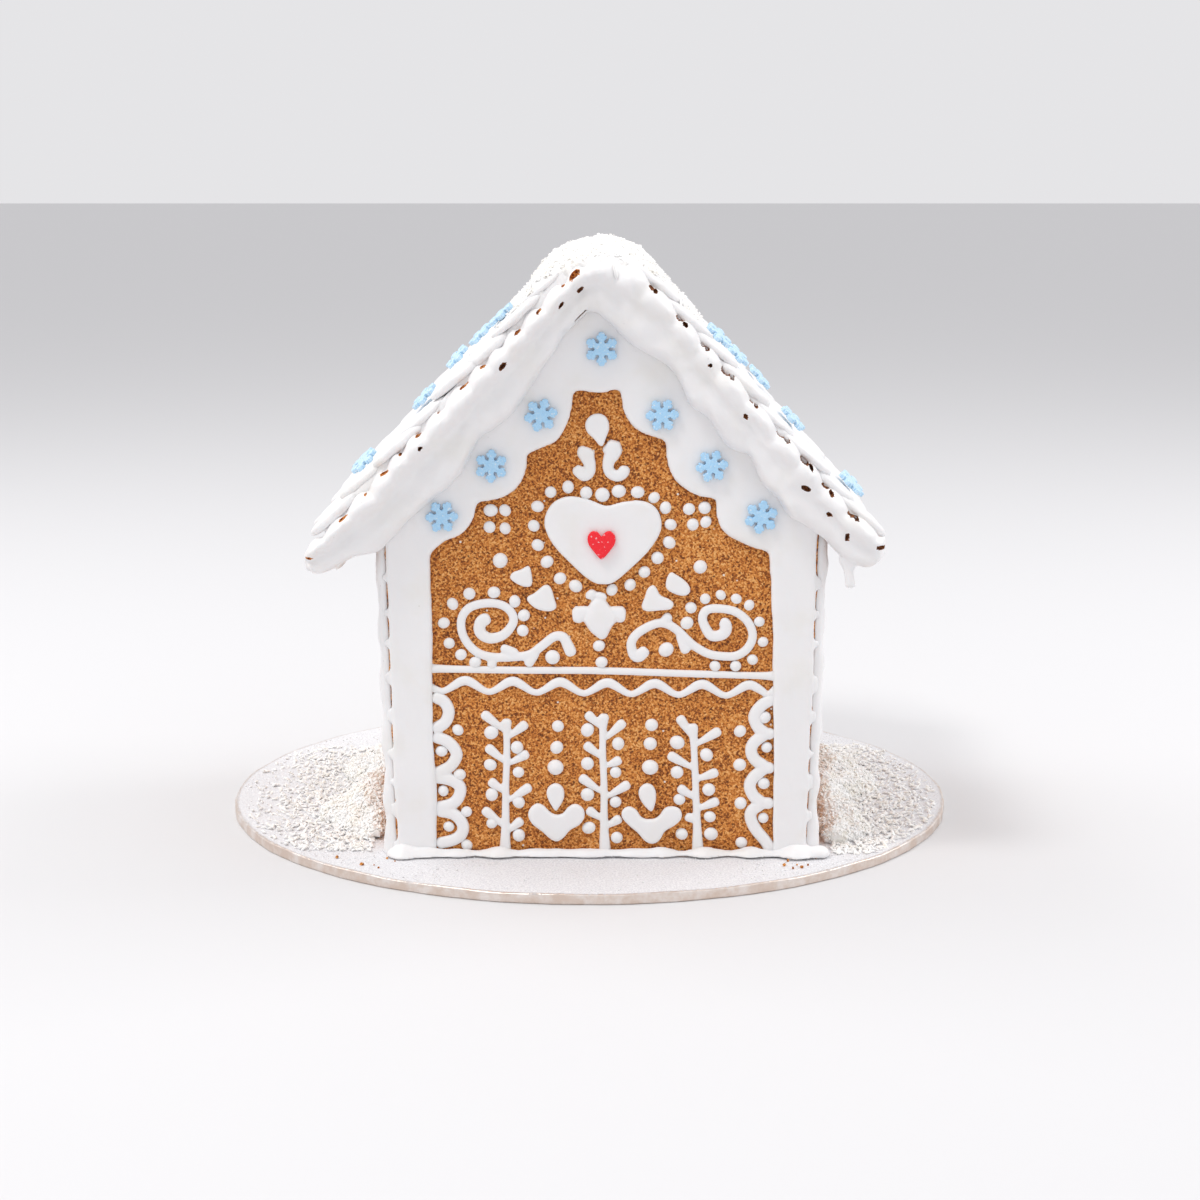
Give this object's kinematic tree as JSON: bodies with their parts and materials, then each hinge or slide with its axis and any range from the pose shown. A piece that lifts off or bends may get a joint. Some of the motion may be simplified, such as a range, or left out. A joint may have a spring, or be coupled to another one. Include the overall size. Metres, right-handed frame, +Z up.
{
  "type": "gingerbread house",
  "caption": "Gabled gingerbread house with white royal icing, piped ornaments, sugar snowflakes, a red sugar heart and coconut snow, on its round foil cake board.",
  "frame": {"origin": "centre of the cake board's underside", "axes": "+X to the right seen from the decorated front gable, +Y from the front gable to the back, +Z up"},
  "size_m": [0.305, 0.305, 0.2388],
  "materials": {
    "gingerbread": "baked brown biscuit, finely speckled and pitted, dull",
    "royal_icing": "set white royal icing with a soft sheen",
    "coconut_snow": "heaped white desiccated coconut",
    "blue_sugar": "pressed pale blue sugar",
    "red_sugar": "red candy with sugar grains",
    "silver_foil": "silver foil over card, slightly wrinkled, dusted white on top"
  },
  "bodies": {
    "root": {"blossom": "royal_icing", "cake_board": "silver_foil", "corner_back_left": "royal_icing", "corner_back_right": "royal_icing", "corner_front_left": "royal_icing", "corner_front_right": "royal_icing", "crown": "royal_icing", "eave_left": "royal_icing", "eave_right": "royal_icing", "edge_roll_back": "royal_icing", "edge_roll_front": "royal_icing", "facing_back": "royal_icing", "facing_front": "royal_icing", "facing_left": "royal_icing", "facing_right": "royal_icing", "flake_front_1": "blue_sugar", "flake_front_2": "blue_sugar", "flake_front_3": "blue_sugar", "flake_front_4": "blue_sugar", "flake_front_5": "blue_sugar", "flake_front_6": "blue_sugar", "flake_front_7": "blue_sugar", "flake_roof_left_1": "blue_sugar", "flake_roof_left_2": "blue_sugar", "flake_roof_left_3": "blue_sugar", "flake_roof_left_4": "blue_sugar", "flake_roof_left_5": "blue_sugar", "flake_roof_left_6": "blue_sugar", "flake_roof_right_1": "blue_sugar", "flake_roof_right_2": "blue_sugar", "flake_roof_right_3": "blue_sugar", "flake_roof_right_4": "blue_sugar", "flake_roof_right_5": "blue_sugar", "flake_roof_right_6": "blue_sugar", "foot_back": "royal_icing", "foot_front": "royal_icing", "heart_iced": "royal_icing", "heart_low_left": "royal_icing", "heart_low_right": "royal_icing", "heart_red": "red_sugar", "lace_left": "royal_icing", "lace_right": "royal_icing", "line_straight": "royal_icing", "line_wavy": "royal_icing", "roof_left": "gingerbread", "roof_right": "gingerbread", "scroll_left": "royal_icing", "scroll_right": "royal_icing", "snow_left": "coconut_snow", "snow_ridge": "coconut_snow", "snow_right": "coconut_snow", "tiles_left": "royal_icing", "tiles_right": "royal_icing", "twig_left": "royal_icing", "twig_middle": "royal_icing", "twig_right": "royal_icing", "wall_back": "gingerbread", "wall_front": "gingerbread", "wall_left": "gingerbread", "wall_right": "gingerbread"}
  },
  "joints": []
}
